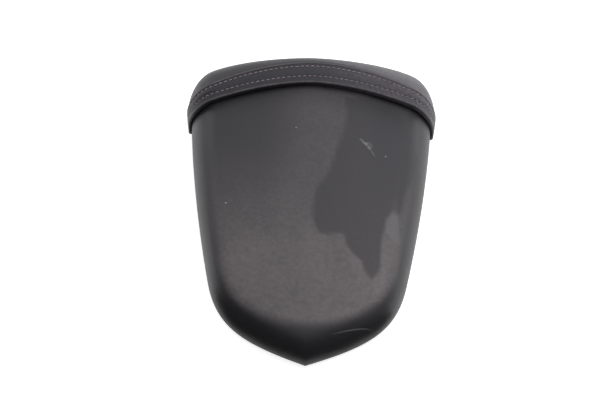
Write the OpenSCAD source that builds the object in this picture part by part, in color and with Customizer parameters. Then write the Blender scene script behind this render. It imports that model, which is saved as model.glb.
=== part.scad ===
// Pillion seat for a motorcycle tail: moulded pan, foam pad, three sewn covers,
// four rubber feet and a bolted latch striker.
// Millimetres. +Z is up, +Y points to the front of the motorcycle, +X to its right.
// The seat stands on its rubber feet at z = 0; x = 0 is its middle line.

/* [Outline of the seat] */
// Overall length, from the tail point to the front edge of the raised roll
seat_len = 322; // [290:1:360]
// Half width of the covered pad where the roll begins
pad_half = 121; // [108:0.5:135]
// Half width at the tail shoulders
shoulder_half = 95.5; // [84:0.5:108]
// How far the shoulders lie in front of the tail point
shoulder_fwd = 84.5; // [70:0.5:100]
// How far the side ends of the lip lie in front of the tail point
lip_fwd = 249.5; // [225:0.5:280]
// Slope of the two edges that meet at the tail point, degrees
tip_slope = 19.5; // [12:0.5:28]

/* [Heights] */
// Underside of the wrapped cover above the floor under the feet
hem_z = 3; // [2:0.1:5]
// Height of the pad top near the tail
tail_top = 39; // [34:0.5:46]
// Height of the pad top at the lip
lip_top = 62; // [56:0.5:72]
// How far the pad top falls from its middle to its sides
crown = 8; // [3:0.5:12]
// Width of the rounding from the side wall to the top, beside the lip
side_run = 28; // [22:0.5:34]
// The same width at the tail
tail_run = 21; // [16:0.5:26]

/* [Raised roll] */
// How far the lip sweeps back at the sides
lip_sweep = 29; // [18:0.5:36]
// How far forward the lip runs again as it falls down the side walls to the rim
lip_lean = 8; // [4:0.5:10]
// Width of the sewn band, lip to upper seam, in the middle
band_w = 20.5; // [16:0.5:24]
// Height of the roll's nose above the pad top
nose_h = 8.9; // [7:0.1:10]
// Height of the upper seam above the pad top
roll_h = 11.5; // [9:0.5:15]
// Share of that height kept at the side walls
side_share = 0.35; // [0.2:0.05:0.6]
// How much of the band width is lost toward the sides
band_taper = 0.5; // [0.3:0.05:0.6]

/* [Covers and foam] */
// Thickness of the vinyl with its backing
vinyl = 1.2; // [0.8:0.1:2]
// Width of the hem folded under the pan
hem_w = 14; // [10:0.5:18]
// Room left between soft pieces and their neighbours
soft_gap = 0.4; // [0.3:0.05:0.8]

/* [Pan] */
// Wall thickness of the moulding
pan_wall = 3; // [2.4:0.1:4]
// Width of the flange the hem is stapled to
flange_w = 16; // [12:0.5:20]
// Top face of the raised deck
deck_top = 30; // [26:0.5:34]
// Depth of the ribs under the deck
rib_h = 8; // [5:0.5:12]
// Thickness of the ribs
rib_t = 2.5; // [1.8:0.1:4]

/* [Rubber feet] */
// Diameter of a foot
foot_d = 22; // [16:0.5:28]
// Diameter of its stem
stem_d = 10; // [7:0.5:14]
// Height of the foot below its tower
foot_h = 10; // [8:0.5:13]
// Front pair: half distance between them
foot_front_x = 70; // [55:0.5:80]
// Front pair: distance behind the front edge
foot_front_back = 83; // [70:0.5:95]
// Tail pair: half distance between them
foot_tail_x = 52; // [40:0.5:60]
// Tail pair: distance in front of the tail point
foot_tail_fwd = 89; // [78:0.5:100]

/* [Latch striker] */
// Distance of the striker in front of the tail point
striker_fwd = 57; // [52:0.5:64]
// Diameter of the bent rod
rod_d = 6; // [5:0.1:8]
// Inside width of the loop
loop_w = 28; // [22:0.5:34]
// Thickness of the striker plate
plate_t = 3; // [2:0.1:4]
// Width of the striker plate
plate_w = 22; // [18:0.5:24]
// Half distance between the two bolts
bolt_x = 28; // [26:0.5:32]
// Shank diameter of the bolts
bolt_d = 6; // [5:0.1:8]

/* [Moulded hooks] */
// Half distance between the two hooks
hook_x = 40; // [30:0.5:50]
// Width of a hook
hook_w = 16; // [12:0.5:22]
// Length of a hook's toe, forward of its leg
hook_toe = 15; // [10:0.5:20]
// Distance of the hook's leg behind the front edge
hook_back = 57; // [52:0.5:66]

/* [Hidden] */
$fn = 48;

// Derived places
tail_y = -seat_len / 2;
front_y = seat_len / 2;
shoulder_y = tail_y + shoulder_fwd;
lip_y = tail_y + lip_fwd;
apex_y = lip_y + lip_sweep;
end_y = lip_y + lip_lean;
focus_y = shoulder_y + 15;
rim_z = hem_z + 2.2;
soft_t = vinyl + soft_gap;
flange_z = hem_z + vinyl + soft_gap;
flange_top = flange_z + pan_wall;
foam_z = flange_top + soft_gap;
foam_low = foam_z - 2;
deck_z = deck_top - pan_wall;
pan_in = soft_t + 0.4;
plug_in = pan_in + flange_w;
tower_z = foot_h;
plate_z = deck_z - 9 - plate_t;
foot_front_y = front_y - foot_front_back;
foot_tail_y = tail_y + foot_tail_fwd;
striker_y = tail_y + striker_fwd;
hook_y = front_y - hook_back;
mid_span = foot_front_y - foot_tail_y;

// Vectors and curves
function unit(p) = p / norm(p);
function bez(a, b, c, d, t) =
  pow(1 - t, 3) * a + 3 * pow(1 - t, 2) * t * b + 3 * (1 - t) * t * t * c + t * t * t * d;
function mirrored(p) = [for (k = [len(p) - 1:-1:0]) [-p[k][0], p[k][1]]];
function flip3(p) = [-p[0], p[1], p[2]];

// Right half of the pad outline: u = 0 tail point, 1 shoulder, 2 side end of the lip
lean = 12;
end_lean = 4;
tip = [0, tail_y];
shoulder = [shoulder_half, shoulder_y];
side_end = [pad_half, end_y];
function rim(u) = u < 1
  ? bez(tip, tip + 63 * [cos(tip_slope), sin(tip_slope)], shoulder - 48 * [sin(lean), cos(lean)],
        shoulder, u)
  : bez(shoulder, shoulder + 55 * [sin(lean), cos(lean)],
        side_end - 55 * [sin(end_lean), cos(end_lean)], side_end, u - 1);
function inward(d) = [-d[1], d[0]];
function rim_in(u) = inward(unit(rim(min(u + 0.001, 2)) - rim(max(u - 0.001, 0))));

// Height of the pad top, and the rounding from the side wall to the top
function top_z(x, y) = let (s = min(1, (y - tail_y) / (apex_y - tail_y)))
  tail_top + (lip_top - tail_top) * (1 - pow(1 - s, 1.5)) - crown * pow(abs(x) / 115, 2.5);
function rise(d, run) = let (k = min(1, max(0, d / run))) pow(1 - pow(1 - k, 2.4), 1 / 2.4);
function run_at(u) = let (k = min(1, max(0, u - 0.6)))
  tail_run + (side_run - tail_run) * k * k * (3 - 2 * k);

// Point of the pad surface moved in by t: u along the outline, v from wall to middle line.
// Its height grows with the distances to both sides, which rounds the top over the tail point
function spine_y(u) = u < 1 ? focus_y : focus_y + (apex_y - focus_y) * (u - 1);
function bend(u) = u < 1 ? 1 : 1 + 0.66 * (u - 1);
function lean_at(u) = let (k = max(0, u - 1)) lip_lean * k * k * (3 - 2 * k);
function pad_pt(u, v, t) = let (
    p = rim(u), n = rim_in(u), ty = spine_y(u), e = bend(u), g = lean_at(u),
    v0 = t / ([-p[0], e * (ty - p[1]) - 24 * g] * n),
    w = v0 + (1 - v0) * v,
    x = p[0] * (1 - w),
    y = ty - (ty - p[1] + g * (1 - pow(1 - w, 24))) * pow(1 - w, e),
    d = max(0, ([x, y] - p) * n - t),
    far = max(0, [x + p[0], y - p[1]] * [-n[0], n[1]] - t),
    both = d > 0 && far > 0 ? d * far / norm([d, far]) : 0)
  [x, y, rim_z + (top_z(x, y) - t - rim_z) * rise(both, run_at(u))];

// Cross-section of the roll: [forward of the lip, above the pad top]
roll_prof = [[4, 0.4], [1.5, 0.4], [-0.2, 1.6], [-0.9, 3.6], [-0.7, 0.67 * nose_h],
  [-0.1, 0.9 * nose_h], [1.6, nose_h], [0.4 * band_w, nose_h + 0.35 * (roll_h - nose_h)],
  [0.7 * band_w, nose_h + 0.7 * (roll_h - nose_h)], [band_w, roll_h]];
rows = len(roll_prof);
function lip_pt(v) = pad_pt(2, v, 0);
function lip_dir(v) = unit(lip_pt(min(1, v + 0.0005)) - lip_pt(max(0, v - 0.0005)));
function lip_out(v) = let (q = lip_dir(v)) unit([q[2], 0, -q[0]]);
function share(v) = side_share + (1 - side_share) * max(0, lip_out(v)[2]);
function fwd_share(v) = 1 - band_taper * pow(1 - v, 2.6);
function prof_in(k) = inward(-unit(roll_prof[min(k + 1, rows - 1)] - roll_prof[max(k - 1, 0)]));
// Point k of the roll's section at v, moved in by t
function roll_pt(v, k, t) = let (
    q = lip_pt(v), n = lip_out(v), s = share(v), f = fwd_share(v), pr = roll_prof[k],
    i = prof_in(k), j = unit([i[0] * s, i[1]]),
    a = (pr[0] > 4 ? 4 + (pr[0] - 4) * f : pr[0]) + t * j[0],
    h = 0.4 + s * (pr[1] - 0.4) + t * j[1])
  q + [0, a, 0] + h * n;

// Front outline under the roll, right half, from the upper seam's side end
front_start = [pad_half + 0.4 + side_share * (roll_h - 0.4),
  end_y + 4 + (band_w - 4) * (1 - band_taper)];
function front_at(t) = bez(front_start, front_start + [0, 46], [104, front_y], [0, front_y], t);
function front_in(t) = inward(unit(front_at(min(1, t + 0.001)) - front_at(max(0, t - 0.001))));
// The panel in front of the upper seam: v along it, a = 0 at the seam, 90 at the outline
function front_pt(v, a, t) = let (
    s = roll_pt(v, rows - 1, t) + [0, soft_gap, 0],
    w = pow(v, 0.45), f = front_at(w) + t * front_in(w) + [0, soft_gap * (1 - w)])
  [s[0] + (f[0] - s[0]) * sin(a), s[1] + (f[1] - s[1]) * sin(a),
    rim_z + (s[2] - rim_z) * cos(a)];

// Faces between two matching point grids of nc columns and nr rows, closed to one solid
function tri(a, b, c) = a == b || b == c || a == c ? [] : [[a, b, c]];
function quad(a, b, c, d) = concat(tri(a, b, c), tri(a, c, d));
function flat(l) = [for (a = l) each a];
module shell(outer, inner) {
  nc = len(outer);
  nr = len(outer[0]);
  m = nc * nr;
  faces = flat([
    for (i = [0:nc - 2], j = [0:nr - 2]) let (a = i * nr + j, b = a + nr) concat(
      quad(a, b, b + 1, a + 1), quad(m + a, m + a + 1, m + b + 1, m + b)),
    for (i = [0:nc - 2]) let (a = i * nr, b = a + nr) quad(a, m + a, m + b, b),
    for (i = [0:nc - 2]) let (a = i * nr + nr - 1, b = a + nr) quad(a, b, m + b, m + a),
    for (j = [0:nr - 2]) let (a = j, b = a + 1) quad(a, b, m + b, m + a),
    for (j = [0:nr - 2]) let (a = (nc - 1) * nr + j, b = a + 1) quad(a, m + a, m + b, b)]);
  polyhedron(points = concat(flat(outer), flat(inner)), faces = faces, convexity = 8);
}

// Folded hem below a rim point p (at rim_z) with inward direction n, outside and inside
function hem_out(p, n, w = hem_w) = [
  [p[0] + w * n[0], p[1] + w * n[1], hem_z],
  [p[0] + 1.8 * n[0], p[1] + 1.8 * n[1], hem_z],
  [p[0] + 0.5 * n[0], p[1] + 0.5 * n[1], hem_z + 0.8]];
function hem_in(p, n, w = hem_w) = [
  [p[0] + w * n[0], p[1] + w * n[1], hem_z + vinyl],
  [p[0] + 1.8 * n[0], p[1] + 1.8 * n[1], hem_z + vinyl],
  [p[0] + (vinyl + 0.15) * n[0], p[1] + (vinyl + 0.15) * n[1], hem_z + vinyl + 0.4]];
function back(pts, dy) = [for (p = pts) [p[0], p[1] - dy, p[2]]];

// Steps along the outline and up the surface
rays = 20;
tail_rays = 10;
steps = 13;
cols = steps;
function vs(k) = pow(k / steps, 2.1);

// One ray of the top cover from the hem's edge to the middle line, for ray i of -rays .. rays
function ray_pts(i, t) = let (
    u = abs(i) / tail_rays, p = rim(u), n = i == 0 ? [0, 1] : rim_in(u),
    w = min(hem_w, u < 0.001 ? hem_w : 0.8 * p[0] / max(0.01, -n[0])),
    late = abs(i) == rays ? 4.5 : 0,
    edge = abs(i) == rays ? 2.5 : 0,
    hem = back(t == 0 ? hem_out(p, n, w) : hem_in(p, n, w), late),
    up = [for (k = [0:steps]) pad_pt(u, vs(k), t) - [0, k == 0 ? edge : 0, 0]],
    all = concat(hem, up))
  i < 0 ? [for (q = all) flip3(q)] : all;
function tuck(pts) = [for (k = [0:len(pts) - 1]) pts[k] + [0, k < 4 ? 0.4 : 3.6, 0]];

// Main panel: rays share their last points along the middle line
module top_cover() {
  n = rays;
  m = steps + 3;
  cells = [for (s = [0, 1]) let (t = s * vinyl) concat(
    [tuck(ray_pts(-n, t))], [for (i = [-n:n]) ray_pts(i, t)], [tuck(ray_pts(n, t))])];
  nc = 2 * n + 3;
  // the last row is shared between the sides: one point a ray pair, one for the whole tail
  seam = n - tail_rays + 2;
  half = nc * m + seam;
  mid = [for (s = [0, 1]) concat(
    [for (k = [0:seam - 2]) cells[s][1 + n + tail_rays + k][m]], [cells[s][nc - 1][m]])];
  pts = [for (s = [0, 1]) each concat(
    flat([for (c = cells[s]) [for (k = [0:m - 1]) c[k]]]), mid[s])];
  function id(s, c, r) = s * half + (r < m ? c * m + r
    : nc * m + max(0, abs(c - n - 1) - tail_rays));
  faces = flat([
    for (c = [0:nc - 2], r = [0:m - 1]) concat(
      quad(id(0, c, r), id(0, c, r + 1), id(0, c + 1, r + 1), id(0, c + 1, r)),
      quad(id(1, c, r), id(1, c + 1, r), id(1, c + 1, r + 1), id(1, c, r + 1))),
    for (c = [0:nc - 2]) quad(id(0, c, 0), id(0, c + 1, 0), id(1, c + 1, 0), id(1, c, 0)),
    for (r = [0:m - 1]) concat(
      quad(id(0, 0, r), id(1, 0, r), id(1, 0, r + 1), id(0, 0, r + 1)),
      quad(id(0, nc - 1, r), id(0, nc - 1, r + 1), id(1, nc - 1, r + 1), id(1, nc - 1, r)))]);
  color([0.13, 0.13, 0.14]) polyhedron(points = pts, faces = faces, convexity = 8);
}

// Columns of the band: hem at each side end, then across the top
function band_col(v, t) = [for (k = [0:rows - 1]) roll_pt(v, k, t)];
function band_hem(j, t) = [for (k = [0:rows - 1])
  let (p = roll_pt(0, k, 0)) (t == 0 ? hem_out(p, [-1, 0]) : hem_in(p, [-1, 0]))[j]];
function half_cols(t) = concat([for (j = [0:2]) band_hem(j, t)], [for (k = [0:cols]) band_col(vs(k), t)]);
function both_sides(h) = concat(h, [for (k = [len(h) - 2:-1:0]) [for (p = h[k]) flip3(p)]]);
module band_cover() {
  color([0.15, 0.15, 0.16]) shell(both_sides(half_cols(0)), both_sides(half_cols(vinyl)));
}

// Columns of the front panel
falls = 7;
function front_col(v, t) = [for (k = [0:falls]) front_pt(v, 90 * k / falls, t)];
function front_hem(v, t) = let (w = pow(v, 0.45), p = front_at(w) + [0, soft_gap * (1 - w)])
  [for (q = t == 0 ? hem_out(p, front_in(w)) : hem_in(p, front_in(w))) q];
function front_full(v, t) = let (h = front_hem(v, t)) concat(front_col(v, t), [h[2], h[1], h[0]]);
module front_cover() {
  cs = [for (k = [0:cols]) vs(k)];
  color([0.14, 0.14, 0.15]) shell(
    both_sides([for (v = cs) front_full(v, 0)]), both_sides([for (v = cs) front_full(v, vinyl)]));
}

// One moulded foam: columns run from the tail over the pad, up inside the roll and down its front
module foam_body() {
  m = steps;
  t = soft_t + 0.1;
  fwd = 4.9;
  function lift(p) = [p[0], p[1], max(p[2], foam_low)];
  function ray_row(i) = [for (k = [0:m]) lift(pad_pt(i / tail_rays, vs(k), soft_t))];
  function foot_row() = [for (k = [0:m]) let (q = pad_pt(2, vs(k), soft_t))
    lift([q[0], max(q[1], lip_pt(vs(k))[1]) + fwd, q[2]])];
  function wall_row() = [for (k = [0:m]) let (v = vs(k))
    lift(lip_pt(v) + [0, fwd, 0] + (0.4 + share(v) * (nose_h - 0.1) - t) * lip_out(v))];
  function top_row(j) = [for (k = [0:m]) lift(roll_pt(vs(k), j, t))];
  function fall_end(v) = acos((foam_low - rim_z) / (roll_pt(v, rows - 1, t)[2] - rim_z));
  function low_edge(w) = front_at(w) + t * front_in(w) + [0, soft_gap * (1 - w)];
  function fall_row(j) = [for (k = [0:m])
    let (p = k == 0 ? low_edge(pow(vs(1), 0.45) * 0.9 * j / falls)
      : front_pt(vs(k), fall_end(vs(k)) * j / falls, t))
    k == 0 || j == falls ? [p[0], p[1], foam_low] : lift(p)];
  right = concat([for (i = [0:rays]) ray_row(i)], [foot_row(), wall_row()],
    [for (j = [7:rows - 1]) top_row(j)], [for (j = [1:falls]) fall_row(j)]);
  n = len(right) - 1;
  cells = [for (c = [-n:n]) c < 0 ? [for (p = right[-c]) flip3(p)] : right[c]];
  pts = concat(flat([for (c = cells) [for (k = [0:m - 1]) c[k]]]),
    [for (q = [tail_rays:n]) right[q][m]]);
  function id(c, r) = r < m ? c * m + r : (2 * n + 1) * m + max(0, abs(c - n) - tail_rays);
  faces = flat([
    for (c = [0:2 * n - 1], r = [0:m - 1])
      quad(id(c, r), id(c, r + 1), id(c + 1, r + 1), id(c + 1, r)),
    [concat([for (c = [0:2 * n]) id(c, 0)], [for (r = [1:m]) id(2 * n, r)],
      [for (r = [m - 1:-1:1]) id(0, r)])]]);
  polyhedron(points = pts, faces = faces, convexity = 8);
}

// Closed outline of the whole seat, moved in by d
function outline(d) = let (
    a = [for (k = [0:24]) let (u = k / 12) rim(u) + d * rim_in(u)],
    b = [for (k = [0:12]) let (w = k / 12) front_at(w) + d * front_in(w)],
    step = [[pad_half - d, end_y + 4.4]],
    right = [for (p = concat(a, step, b)) if (p[0] > 1.5) p],
    nose = [0, tail_y + d / cos(tip_slope)])
  concat([nose], right, mirrored(right));

module foam_pad() {
  color([0.82, 0.78, 0.62]) difference() {
    foam_body();
    translate([-seat_len, -seat_len, -1]) cube([2 * seat_len, 2 * seat_len, foam_z + 1]);
    translate([0, 0, foam_z - 1])
      linear_extrude(deck_top + soft_gap - foam_z + 1) polygon(outline(plug_in - soft_gap));
  }
}

// Moulded pan
module tower(x, y, d, z) {
  translate([x, y, z]) cylinder(d = d, h = deck_z - z + 0.5);
}
module hook() {
  translate([hook_x, hook_y, 0]) rotate([90, 0, 90]) translate([0, 0, -hook_w / 2])
    linear_extrude(hook_w) polygon([[-4, deck_z + 0.5], [-4, 7], [0, 3.5], [6 + hook_toe, 3.5],
      [6 + hook_toe, 8], [6, 9], [6, deck_z - 3], [9, deck_z + 0.5]]);
}
module base_pan() {
  color([0.09, 0.09, 0.1]) difference() {
    union() {
      translate([0, 0, flange_z]) linear_extrude(pan_wall) polygon(outline(pan_in));
      translate([0, 0, flange_z]) linear_extrude(deck_top - flange_z) polygon(outline(plug_in));
    }
    translate([0, 0, flange_z - 1])
      linear_extrude(deck_z - flange_z + 1) polygon(outline(plug_in + pan_wall));
    for (s = [-1, 1], k = [0.22, 0.62])
      translate([20 * s, foot_tail_y + k * mid_span, deck_z - 1]) cylinder(d = 6, h = pan_wall + 2);
  }
  color([0.09, 0.09, 0.1]) pan_underside();
}
module pan_underside() {
  difference() {
    union() {
      intersection() {
        union() {
          for (s = [-1, 1]) translate([s * 36 - rib_t / 2, striker_y + 19, deck_z - rib_h])
            cube([rib_t, hook_y + 1 - striker_y - 19, rib_h + 0.5]);
          for (k = [0, 0.38, 0.713, 1])
            translate([-pad_half, foot_tail_y + k * mid_span - rib_t / 2, deck_z - rib_h])
              cube([2 * pad_half, rib_t, rib_h + 0.5]);
        }
        translate([0, 0, deck_z - rib_h - 1])
          linear_extrude(rib_h + 2) polygon(outline(plug_in + pan_wall - 0.5));
      }
      for (s = [-1, 1]) {
        tower(s * foot_front_x, foot_front_y, foot_d + 2, tower_z);
        tower(s * foot_tail_x, foot_tail_y, foot_d + 2, tower_z);
        tower(s * bolt_x, striker_y, 16, plate_z + plate_t);
      }
      hook();
      mirror([1, 0, 0]) hook();
    }
    for (s = [-1, 1]) {
      translate([s * foot_front_x, foot_front_y, tower_z - 1]) cylinder(d = stem_d + 0.4, h = 14);
      translate([s * foot_tail_x, foot_tail_y, tower_z - 1]) cylinder(d = stem_d + 0.4, h = 14);
      translate([s * bolt_x, striker_y, plate_z + plate_t - 1]) cylinder(d = bolt_d + 3.2, h = 9.4);
    }
  }
}

// Staples through the hem into the flange
module staple(p, n) {
  at = p + 9 * n;
  translate([at[0], at[1], hem_z - 0.9]) rotate(atan2(n[1], n[0]))
    translate([-0.65, -5.5, 0]) cube([1.3, 11, 0.6]);
}
module hem_staples() {
  color([0.7, 0.71, 0.73]) for (m = [0, 1]) mirror([m, 0, 0]) {
    for (k = [0:5]) let (u = 0.14 + k * 0.16) staple(rim(u), rim_in(u));
    for (k = [0:6]) let (u = 1.1 + k * 0.13) staple(rim(u), rim_in(u));
    for (w = [0.08, 0.3, 0.5, 0.64, 0.76, 0.87, 0.96]) staple(front_at(w), front_in(w));
  }
}

// Rubber feet
module foot(x, y) {
  color([0.05, 0.05, 0.05]) translate([x, y, 0]) difference() {
    union() {
      translate([0, 0, 1]) cylinder(d = foot_d, h = foot_h - 1);
      cylinder(d1 = foot_d - 2, d2 = foot_d, h = 1);
      translate([0, 0, foot_h - 1]) cylinder(d = stem_d, h = 13);
      translate([0, 0, foot_h + 12]) cylinder(d1 = stem_d, d2 = stem_d - 2, h = 0.8);
    }
    translate([0, 0, -1]) cylinder(d = 6, h = 5);
  }
}
module foot_front_left() { foot(-foot_front_x, foot_front_y); }
module foot_front_right() { foot(foot_front_x, foot_front_y); }
module foot_tail_left() { foot(-foot_tail_x, foot_tail_y); }
module foot_tail_right() { foot(foot_tail_x, foot_tail_y); }

// Striker: bent rod welded under a plate, bolted up into brass inserts
bend_r = 8;
leg_x = loop_w / 2 + rod_d / 2;
bar_z = 2 + rod_d / 2;
module striker_rod() {
  color([0.72, 0.73, 0.75]) translate([0, striker_y, 0]) {
    for (s = [-1, 1]) {
      translate([s * leg_x, 0, bar_z + bend_r])
        cylinder(d = rod_d, h = plate_z - bar_z - bend_r, $fn = 32);
      translate([s * (leg_x - bend_r), 0, bar_z + bend_r]) rotate([90, 0, 0])
        rotate([0, 0, s > 0 ? -90 : 180]) rotate_extrude(angle = 90, $fn = 64)
          translate([bend_r, 0]) circle(d = rod_d, $fn = 32);
    }
    translate([-leg_x + bend_r, 0, bar_z]) rotate([0, 90, 0])
      cylinder(d = rod_d, h = 2 * (leg_x - bend_r), $fn = 32);
  }
}
module striker_plate() {
  color([0.66, 0.67, 0.69]) difference() {
    translate([0, striker_y, plate_z]) linear_extrude(plate_t) {
      square([2 * bolt_x, plate_w], center = true);
      for (s = [-1, 1]) translate([s * bolt_x, 0]) circle(d = plate_w);
    }
    for (s = [-1, 1]) translate([s * bolt_x, striker_y, plate_z - 1])
      cylinder(d = bolt_d + 0.6, h = plate_t + 2);
    translate([0, striker_y, plate_z - 1]) cylinder(d = 10, h = plate_t + 2);
  }
}
washer_t = 1.2;
module washer(x) {
  color([0.75, 0.76, 0.78]) translate([x, striker_y, plate_z - washer_t]) difference() {
    cylinder(d = bolt_d * 2.1, h = washer_t);
    translate([0, 0, -1]) cylinder(d = bolt_d + 0.4, h = washer_t + 2);
  }
}
module bolt(x) {
  color([0.7, 0.71, 0.73]) translate([x, striker_y, plate_z - washer_t - 4]) {
    cylinder(d = 11.5, h = 4, $fn = 6);
    translate([0, 0, 3.5]) cylinder(d = bolt_d, h = 0.5 + washer_t + plate_t + 7.6);
  }
}
module insert(x) {
  color([0.75, 0.6, 0.3]) translate([x, striker_y, plate_z + plate_t]) difference() {
    cylinder(d = bolt_d + 3.1, h = 8);
    translate([0, 0, -1]) cylinder(d = bolt_d + 0.2, h = 10);
  }
}
module striker_bolt_left() { bolt(-bolt_x); }
module striker_bolt_right() { bolt(bolt_x); }
module bolt_washer_left() { washer(-bolt_x); }
module bolt_washer_right() { washer(bolt_x); }
module threaded_insert_left() { insert(-bolt_x); }
module threaded_insert_right() { insert(bolt_x); }

base_pan();
foam_pad();
top_cover();
band_cover();
front_cover();
hem_staples();
foot_front_left();
foot_front_right();
foot_tail_left();
foot_tail_right();
striker_rod();
striker_plate();
striker_bolt_left();
striker_bolt_right();
bolt_washer_left();
bolt_washer_right();
threaded_insert_left();
threaded_insert_right();
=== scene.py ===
import bpy
import bmesh
import math
import numpy as np
from mathutils import Matrix, Vector


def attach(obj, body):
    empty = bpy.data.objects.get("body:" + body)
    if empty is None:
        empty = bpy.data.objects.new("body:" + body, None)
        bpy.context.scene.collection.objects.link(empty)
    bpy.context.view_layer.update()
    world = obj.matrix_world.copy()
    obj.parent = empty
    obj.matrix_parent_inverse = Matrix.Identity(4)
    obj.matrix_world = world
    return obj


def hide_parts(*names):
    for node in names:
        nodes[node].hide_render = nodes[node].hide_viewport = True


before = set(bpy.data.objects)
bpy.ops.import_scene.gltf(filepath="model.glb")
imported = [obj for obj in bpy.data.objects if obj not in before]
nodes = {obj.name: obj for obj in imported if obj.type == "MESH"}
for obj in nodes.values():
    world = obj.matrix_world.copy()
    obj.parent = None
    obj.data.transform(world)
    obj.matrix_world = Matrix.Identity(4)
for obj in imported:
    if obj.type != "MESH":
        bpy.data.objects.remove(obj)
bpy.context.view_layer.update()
scene = bpy.context.scene
scene.view_settings.view_transform = "Standard"
mm = 0.001
rng = np.random.default_rng(7)

# Camera: a long lens behind the tail, looking down at just under sixty degrees
cameraView = dict(
    elevation=59.5, turn=-0.14, roll=-1.59, distance=1.5,   # degrees, metres
    target=(0.0, -0.013, 0.032), pixelsPerMetre=1035.0,
    targetPixel=(309.3, 214.15), frameSize=(600, 400))


def makeCamera():
    v = cameraView
    e, a = math.radians(v["elevation"]), math.radians(v["turn"])
    back = Vector((math.sin(a) * math.cos(e), -math.cos(a) * math.cos(e), math.sin(e)))
    ahead = -back
    right = ahead.cross(Vector((0, 0, 1))).normalized()
    up = right.cross(ahead)
    focal = v["pixelsPerMetre"] * v["distance"]
    offX = math.atan((v["targetPixel"][0] - v["frameSize"][0] / 2) / focal)
    offY = math.atan((v["targetPixel"][1] - v["frameSize"][1] / 2) / focal)
    # aimed a little off, so that the target lands on its pixel, then rolled
    axes = [ahead, right, up]
    for index, angle in ((2, offX), (1, offY), (0, math.radians(v["roll"]))):
        spin = Matrix.Rotation(angle, 3, axes[index])
        axes = [spin @ axis for axis in axes]
    ahead, right, up = axes
    data = bpy.data.cameras.new("viewCamera")
    data.sensor_width = 36.0
    data.lens = focal / v["frameSize"][0] * data.sensor_width
    data.clip_end = 50.0
    cam = bpy.data.objects.new("viewCamera", data)
    turn = Matrix((right, up, -ahead)).transposed().to_4x4()
    cam.matrix_world = Matrix.Translation(Vector(v["target"]) + back * v["distance"]) @ turn
    scene.collection.objects.link(cam)
    scene.camera = cam


makeCamera()
print("camera set")

# Form of the seat in millimetres, the same curves as the solids
form = dict(
    length=322.0, padHalf=121.0, shoulderHalf=95.5, shoulderFwd=84.5, lipFwd=249.5,
    tipSlope=19.5, tipPull=63.0, shoulderLean=12.0, shoulderPull=48.0, sidePull=55.0, endLean=4.0,
    hemZ=3.0, hemRound=2.2, tailTop=39.0, lipTop=62.0, topBend=1.5, crown=8.0, crownHalf=115.0,
    crownPower=2.5, sideRun=28.0, tailRun=21.0, wallPower=2.4,
    lipSweep=29.0, spineBend=0.66, lipLean=8.0, leanPower=24,
    bandWidth=20.5, noseHeight=8.9, rollHeight=11.5, rootRun=4.0, rootHeight=0.4, sideShare=0.35,
    bandTaper=0.5, taperPower=2.6,
    vinyl=1.2, hemWidth=14.0, softGap=0.4, frontPullSide=46.0, frontPullMid=104.0, frontSpread=0.45)
tailY = -form["length"] / 2
frontY = form["length"] / 2
shoulderY = tailY + form["shoulderFwd"]
lipY = tailY + form["lipFwd"]
apexY = lipY + form["lipSweep"]
endY = lipY + form["lipLean"]
focusY = shoulderY + 15
rimZ = form["hemZ"] + form["hemRound"]


def bezier(a, b, c, d, t):
    t = np.asarray(t, float)[..., None]
    return (1 - t) ** 3 * a + 3 * (1 - t) ** 2 * t * b + 3 * (1 - t) * t * t * c + t ** 3 * d


def unitRows(v):
    return v / np.maximum(np.linalg.norm(v, axis=-1, keepdims=True), 1e-12)


def aimed(degrees):
    return np.array([math.sin(math.radians(degrees)), math.cos(math.radians(degrees))])


def rimPoint(u):
    u = np.asarray(u, float)
    tip = np.array([0, tailY])
    shoulder = np.array([form["shoulderHalf"], shoulderY])
    sideEnd = np.array([form["padHalf"], endY])
    tipAim = aimed(90 - form["tipSlope"])
    lean, endLean = aimed(form["shoulderLean"]), aimed(form["endLean"])
    tail = bezier(tip, tip + form["tipPull"] * tipAim, shoulder - form["shoulderPull"] * lean,
                  shoulder, np.clip(u, 0, 1))
    side = bezier(shoulder, shoulder + form["sidePull"] * lean,
                  sideEnd - form["sidePull"] * endLean, sideEnd, np.clip(u - 1, 0, 1))
    return np.where((u < 1)[..., None], tail, side)


def inward(d):
    return np.stack([-d[..., 1], d[..., 0]], -1)


def rimInward(u):
    u = np.asarray(u, float)
    return inward(unitRows(rimPoint(np.minimum(u + 0.001, 2)) - rimPoint(np.maximum(u - 0.001, 0))))


def padTop(x, y):
    s = np.clip((y - tailY) / (apexY - tailY), 0, 1)
    rise = form["lipTop"] - form["tailTop"]
    dip = form["crown"] * (np.abs(x) / form["crownHalf"]) ** form["crownPower"]
    return form["tailTop"] + rise * (1 - (1 - s) ** form["topBend"]) - dip


def roundingWidth(u):
    # the rounding widens from the tail to the side walls, on both sides of the shoulder
    k = np.clip(u - 0.6, 0, 1)
    return form["tailRun"] + (form["sideRun"] - form["tailRun"]) * k * k * (3 - 2 * k)


def wallRise(d, run):
    k = np.clip(d / run, 0, 1)
    return (1 - (1 - k) ** form["wallPower"]) ** (1 / form["wallPower"])


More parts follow.
